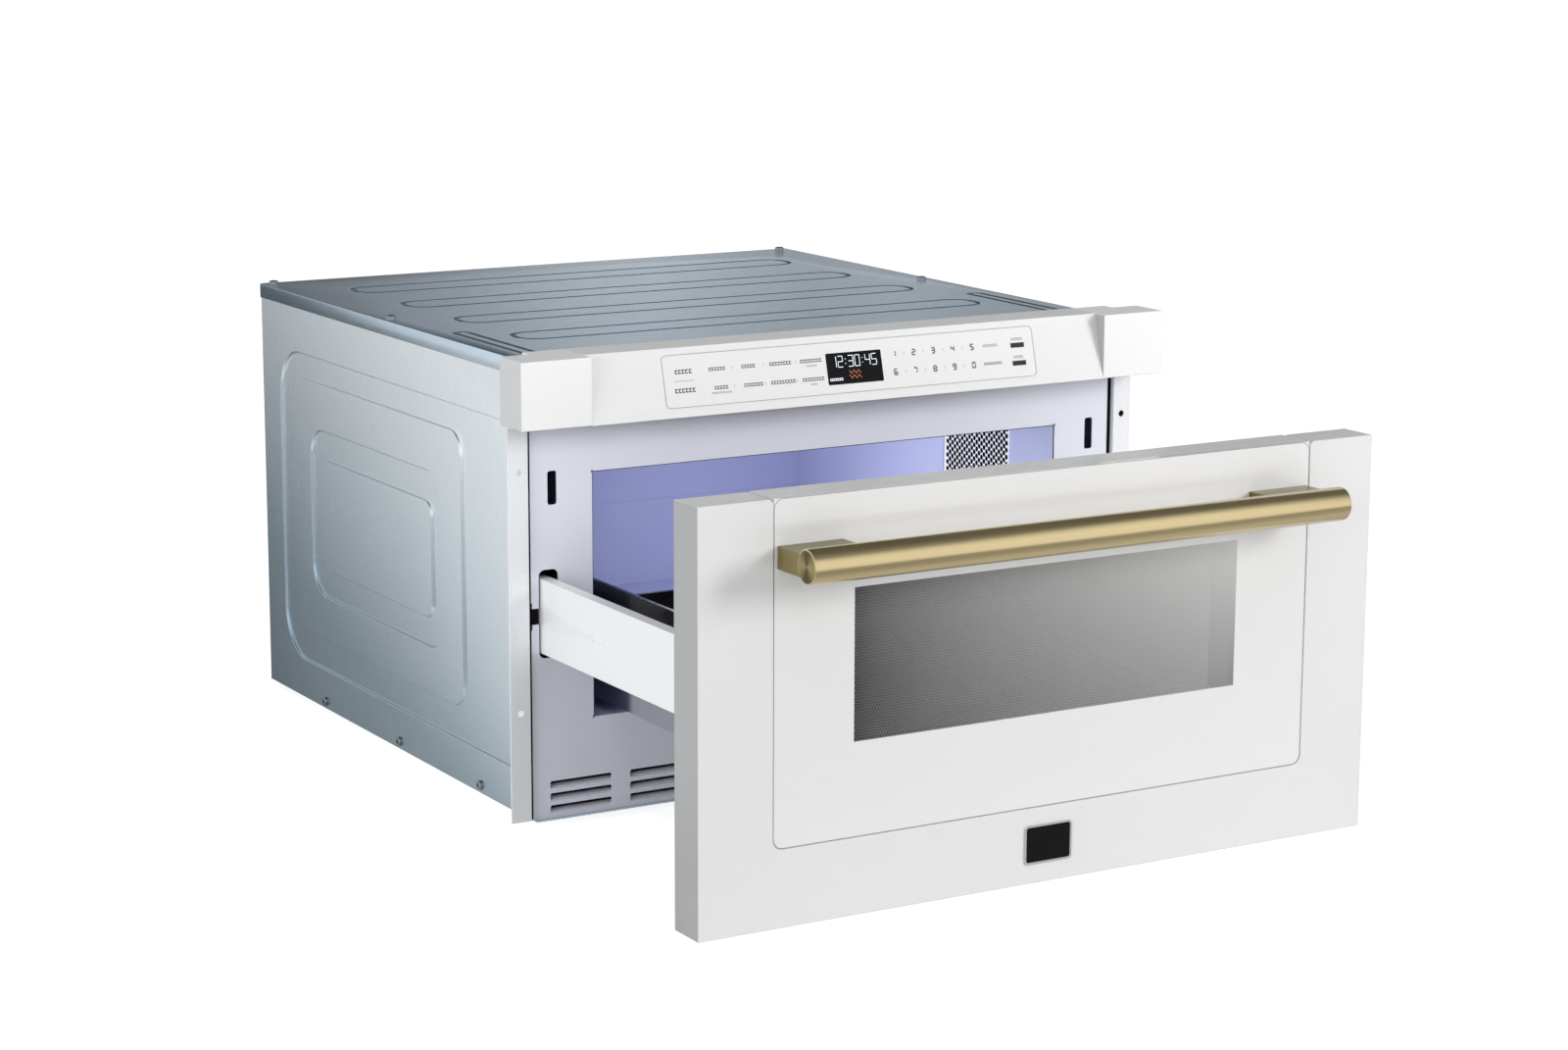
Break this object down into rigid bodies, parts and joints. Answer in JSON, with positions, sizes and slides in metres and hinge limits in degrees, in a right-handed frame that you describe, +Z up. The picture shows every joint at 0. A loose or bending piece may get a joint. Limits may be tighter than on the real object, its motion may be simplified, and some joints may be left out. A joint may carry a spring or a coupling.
{
  "type": "microwave drawer",
  "caption": "Built-in microwave oven whose food tray slides out behind a full-width front with a bar handle, under a touch control strip.",
  "frame": {"origin": "on the underside of the casing, at the middle of its width, on the plane where the mounting flanges meet the cabinet face", "axes": "+Z up, +Y into the cabinet, +X to the right as one faces the front; the drawer opens along -Y"},
  "size_m": [0.606, 0.9366, 0.3832],
  "materials": {
    "galvanised": "galvanised sheet, satin",
    "white_enamel": "smooth enamel, cool white",
    "oven_enamel": "smooth enamel, pale lilac",
    "white_paint": "satin white paint",
    "white_glass": "white back-painted glass with a clear window",
    "gold_brass": "brushed",
    "screen_steel": "perforated, satin grey",
    "slide_steel": "zinc plated",
    "screw_steel": "zinc plated",
    "aluminium": "bright",
    "core_steel": "varnished laminations",
    "copper": "enamelled wire",
    "black_plastic": "moulded",
    "grey_plastic": "moulded",
    "white_plastic": "moulded",
    "touch_film": "smooth overlay",
    "display_glass": "smooth",
    "board": "coated circuit board",
    "ceramic_glass": "black ceramic glass",
    "pan_steel": "bright pressed steel",
    "lamp_glass": "clear",
    "badge": "black with a bright rim",
    "rubber": "moulded"
  },
  "bodies": {
    "case": {"base_plate": "galvanised", "side_panel_left": "galvanised", "side_panel_right": "galvanised", "top_cover": "galvanised", "back_panel": "galvanised", "front_plate": "white_enamel", "mounting_flange_left": "white_enamel", "mounting_flange_right": "white_enamel", "oven_cavity": "oven_enamel", "lamp_grille": "oven_enamel", "stirrer_cover": "white_plastic", "waveguide": "galvanised", "magnetron": "aluminium", "transformer_core": "core_steel", "transformer_windings": "copper", "capacitor": "aluminium", "stirrer_motor": "slide_steel", "fan_shroud": "black_plastic", "fan_motor": "core_steel", "filter_board": "board", "cord_gland": "black_plastic", "lamp_housing": "galvanised", "oven_lamp": "lamp_glass", "control_bezel": "white_paint", "touch_panel": "touch_film", "display_module": "display_glass", "control_board": "board", "bezel_end_left": "white_paint", "bezel_end_right": "white_paint", "fixed_rail_left": "slide_steel", "fixed_rail_right": "slide_steel", "drive_motor": "core_steel", "interlock_switches": "black_plastic", "case_screws": "screw_steel"},
    "drawer": {"door_frame": "white_paint", "door_glass": "white_glass", "mesh_screen": "screen_steel", "door_inner_panel": "white_enamel", "door_choke": "grey_plastic", "door_bumpers": "rubber", "badge_plate": "badge", "handle_bar": "gold_brass", "handle_brackets": "gold_brass", "tray_pan": "pan_steel", "tray_basket": "black_plastic", "tray_floor": "ceramic_glass", "tray_glides": "white_plastic", "latch_hooks": "slide_steel", "drawer_member_left": "white_paint", "drawer_member_right": "white_paint", "inner_rail_left": "slide_steel", "inner_rail_right": "slide_steel", "drive_rack": "white_plastic"},
    "middle_slide_left": {"middle_rail_left": "slide_steel"},
    "middle_slide_right": {"middle_rail_right": "slide_steel"},
    "fan_rotor": {"fan_impeller": "grey_plastic"},
    "stirrer_rotor": {"mode_stirrer": "aluminium"},
    "pinion": {"drive_pinion": "white_plastic"},
    "plunger_left": {"interlock_plunger_left": "white_plastic"},
    "plunger_right": {"interlock_plunger_right": "white_plastic"}
  },
  "joints": [
    {"name": "drawer_slide", "type": "slide", "parent": "case", "child": "drawer", "axis": [0, -1, 0], "range_m": [-0.2776, 0.1064]},
    {"name": "middle_left", "type": "slide", "parent": "case", "child": "middle_slide_left", "axis": [0, -1, 0], "range_m": [-0.139, 0.0534]},
    {"name": "middle_right", "type": "slide", "parent": "case", "child": "middle_slide_right", "axis": [0, -1, 0], "range_m": [-0.139, 0.0534]},
    {"name": "pinion_spin", "type": "hinge", "parent": "case", "child": "pinion", "pos_m": [0.261, 0.03, 0.12525], "axis": [1, 0, 0], "range_deg": [-1770, 680]},
    {"name": "fan_spin", "type": "hinge", "parent": "case", "child": "fan_rotor", "pos_m": [0.15, 0.53, 0.18], "axis": [0, 1, 0], "continuous": true},
    {"name": "stirrer_spin", "type": "hinge", "parent": "case", "child": "stirrer_rotor", "pos_m": [0, 0.215, 0.275], "axis": [0, 0, 1], "continuous": true},
    {"name": "plunger_press_left", "type": "slide", "parent": "case", "child": "plunger_left", "axis": [0, 0, 1], "range_m": [-0.003, 0], "stiffness_N_per_m": 120, "springref_m": 0.002},
    {"name": "plunger_press_right", "type": "slide", "parent": "case", "child": "plunger_right", "axis": [0, 0, 1], "range_m": [-0.003, 0], "stiffness_N_per_m": 120, "springref_m": 0.002}
  ],
  "couplings": [
    {"joint": "middle_left", "follows": "drawer_slide", "ratio": 0.5},
    {"joint": "middle_right", "follows": "drawer_slide", "ratio": 0.5},
    {"joint": "pinion_spin", "follows": "drawer_slide", "rad_per_m": 111.11}
  ]
}
